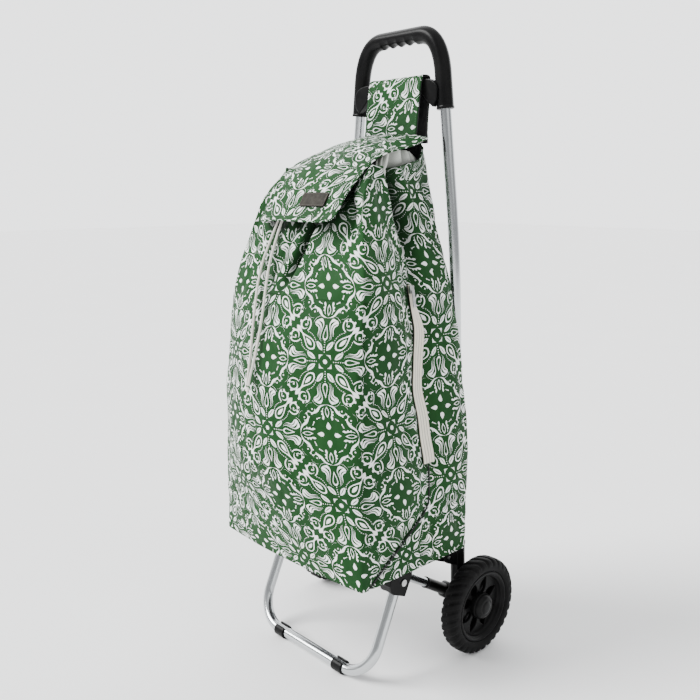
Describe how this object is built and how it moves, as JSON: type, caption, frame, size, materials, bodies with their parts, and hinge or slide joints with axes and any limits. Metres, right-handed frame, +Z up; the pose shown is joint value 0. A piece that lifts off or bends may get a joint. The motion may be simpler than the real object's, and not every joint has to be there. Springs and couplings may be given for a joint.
{
  "type": "shopping trolley on wheels",
  "caption": "Folding shopping trolley on wheels: printed fabric bag with flap and drawstring mouth on a tubular frame with a moulded handle and a front stand.",
  "frame": {"origin": "on the floor under the middle of the footprint", "axes": "+Z up, +Y towards the person pulling it by the handle, the bag's front faces -Y, +X to that person's left when walking ahead of it"},
  "size_m": [0.3706, 0.3688, 0.936],
  "materials": {
    "aluminium": "drawn tube, satin anodised",
    "steel": "zinc plated",
    "moulded_plastic": "fine moulded texture, satin",
    "foam_rubber": "moulded foam rubber with shallow lugs",
    "printed_fabric": "coated woven polyester, green with a white ornamental print",
    "lining": "thin pale coated lining",
    "board": "stiff board, dark",
    "label": "blank dark woven patch with a stitched edge",
    "cord": "braided off-white cord",
    "zip": "beige coil zip"
  },
  "bodies": {
    "frame": {"upright_tube_left": "aluminium", "upright_tube_right": "aluminium", "axle_post_left": "moulded_plastic", "axle_post_right": "moulded_plastic", "axle_clip_left": "steel", "axle_clip_right": "steel", "axle_spacer_left": "moulded_plastic", "axle_spacer_right": "moulded_plastic", "base_pivot_pin_left": "steel", "base_pivot_pin_right": "steel", "bag_gusset_left": "printed_fabric", "bag_gusset_right": "printed_fabric", "drawstring_left": "cord", "drawstring_right": "cord", "eyelet_left": "steel", "eyelet_right": "steel", "handle_grip": "moulded_plastic", "handle_crossbar": "moulded_plastic", "axle": "steel", "bag_front_panel": "printed_fabric", "bag_rear_panel": "printed_fabric", "drawstring_collar": "lining", "hanging_loop": "printed_fabric", "zip_tape": "zip", "drawstring_knot": "cord"},
    "wheel_left": {"tyre_left": "foam_rubber", "rim_left": "moulded_plastic", "hub_cap_left": "moulded_plastic"},
    "wheel_right": {"tyre_right": "foam_rubber", "rim_right": "moulded_plastic", "hub_cap_right": "moulded_plastic"},
    "base": {"base_cross_bar": "steel", "base_rail_left": "moulded_plastic", "base_rail_right": "moulded_plastic", "elbow_bracket_left": "moulded_plastic", "elbow_bracket_right": "moulded_plastic", "elbow_rivet_left": "steel", "elbow_rivet_right": "steel"},
    "stand": {"stand_tube": "aluminium", "foot_clip_left": "moulded_plastic", "foot_clip_right": "moulded_plastic"},
    "brace_sleeves": {"brace_sleeve_left": "moulded_plastic", "brace_sleeve_right": "moulded_plastic"},
    "brace_tubes": {"brace_tube_left": "aluminium", "brace_tube_right": "aluminium"},
    "bag_base": {"bag_bottom": "printed_fabric", "base_board": "board"},
    "flap": {"flap": "printed_fabric", "label_patch": "label"},
    "zip_runner": {"zip_slider": "zip", "zip_pull": "zip"}
  },
  "joints": [
    {"name": "wheel_left_spin", "type": "hinge", "parent": "frame", "child": "wheel_left", "pos_m": [-0.166, 0.10544, 0.075], "axis": [1, 0, 0], "continuous": true},
    {"name": "wheel_right_spin", "type": "hinge", "parent": "frame", "child": "wheel_right", "pos_m": [0.166, 0.10544, 0.075], "axis": [1, 0, 0], "continuous": true},
    {"name": "base_fold", "type": "hinge", "parent": "frame", "child": "base", "pos_m": [0, 0.07544, 0.15], "axis": [-1, 0, 0], "range_deg": [0, 75], "deforming": ["bag_front_panel", "bag_rear_panel", "bag_gusset_left", "bag_gusset_right", "zip_tape"]},
    {"name": "stand_fold", "type": "hinge", "parent": "base", "child": "stand", "pos_m": [0, -0.03256, 0.1475], "axis": [1, 0, 0], "range_deg": [0, 82.1]},
    {"name": "brace_fold", "type": "hinge", "parent": "frame", "child": "brace_sleeves", "pos_m": [0, 0.10544, 0.075], "axis": [-1, 0, 0], "range_deg": [0, 42]},
    {"name": "brace_extend", "type": "slide", "parent": "brace_sleeves", "child": "brace_tubes", "axis": [0, -0.8575, 0.5145], "range_m": [0, 0.029]},
    {"name": "bag_base_lift", "type": "slide", "parent": "frame", "child": "bag_base", "axis": [0, 0, 1], "range_m": [0, 0.1605]},
    {"name": "flap_open", "type": "hinge", "parent": "frame", "child": "flap", "pos_m": [0, 0.06144, 0.784], "axis": [-1, 0, 0], "range_deg": [0, 90]},
    {"name": "zip_slide", "type": "slide", "parent": "frame", "child": "zip_runner", "axis": [0.1547, 0.0079, -0.9879], "range_m": [0, 0.22]}
  ],
  "couplings": [
    {"joint": "stand_fold", "follows": "base_fold", "ratio": 1.0933},
    {"joint": "brace_fold", "follows": "base_fold", "ratio": 0.55867},
    {"joint": "brace_extend", "follows": "base_fold", "m_per_rad": 0.022002},
    {"joint": "bag_base_lift", "follows": "base_fold", "m_per_rad": 0.12223}
  ]
}
